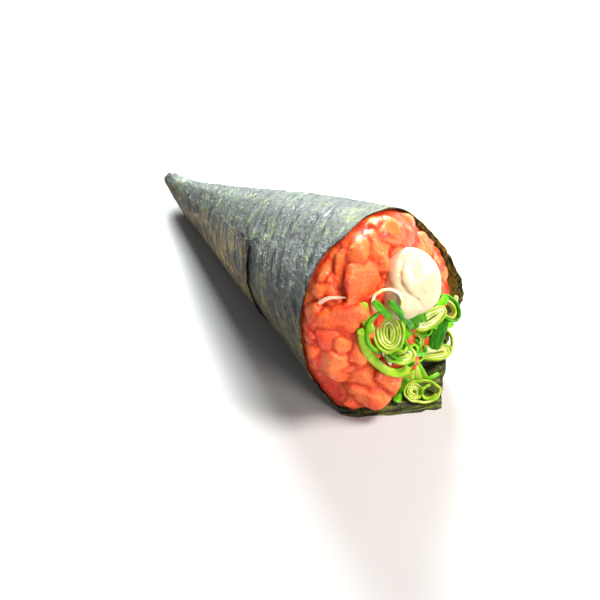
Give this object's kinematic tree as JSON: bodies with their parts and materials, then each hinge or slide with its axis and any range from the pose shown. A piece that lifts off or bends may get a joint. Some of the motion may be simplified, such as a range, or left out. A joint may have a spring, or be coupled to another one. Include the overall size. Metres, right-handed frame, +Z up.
{
  "type": "salmon temaki hand roll",
  "caption": "Cone-shaped hand roll of nori packed with chopped salmon, with a dollop of cream cheese and sliced spring onion on its open end, lying on its side.",
  "frame": {"origin": "middle of the footprint of the roll lying on its side, on the surface it rests on", "axes": "+X from the pointed tip to the open mouth, +Y towards the far side, +Z up"},
  "size_m": [0.1118, 0.0496, 0.0468],
  "materials": {
    "nori": "satin, fibrous",
    "salmon": "wet, glossy, translucent",
    "cream": "smooth, soft satin",
    "onion": "moist, semi-gloss"
  },
  "bodies": {
    "root": {"nori_wrap": "nori", "salmon_filling": "salmon", "cream_cheese": "cream", "spring_onion": "onion"}
  },
  "joints": []
}
